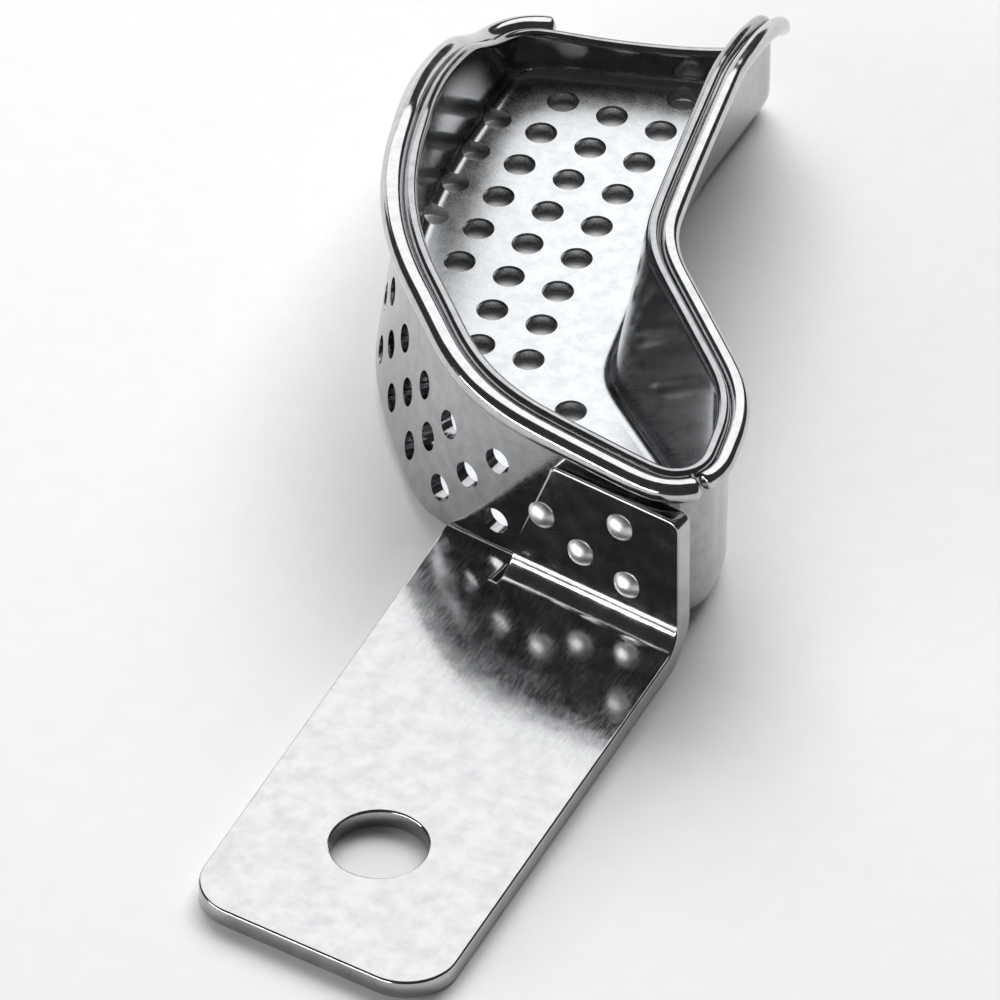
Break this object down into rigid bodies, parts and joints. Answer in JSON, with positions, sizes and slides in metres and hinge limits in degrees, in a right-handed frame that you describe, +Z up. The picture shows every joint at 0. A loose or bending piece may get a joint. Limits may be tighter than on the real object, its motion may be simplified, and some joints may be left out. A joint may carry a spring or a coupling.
{
  "type": "impression tray",
  "caption": "Perforated quadrant dental impression tray: pressed steel bowl with rim wires and a riveted flat strap handle with one hole.",
  "frame": {"origin": "centre of the hole in the handle, on the resting plane", "axes": "+Z up, out of the bowl's open side; +Y along the handle from the hole towards the bowl; +X to the tongue side"},
  "size_m": [0.0395, 0.0962, 0.0159],
  "materials": {
    "bowl_steel": "polished stainless steel sheet, pressed and perforated",
    "wire_steel": "polished stainless steel wire",
    "handle_steel": "polished stainless steel strap",
    "rivet_steel": "polished stainless steel rivet"
  },
  "bodies": {
    "root": {"tray_bowl": "bowl_steel", "cheek_rim_wire": "wire_steel", "tongue_rim_wire": "wire_steel", "handle": "handle_steel", "rivet_upper_left": "rivet_steel", "rivet_lower_left": "rivet_steel", "rivet_upper_right": "rivet_steel", "rivet_lower_right": "rivet_steel"}
  },
  "joints": []
}
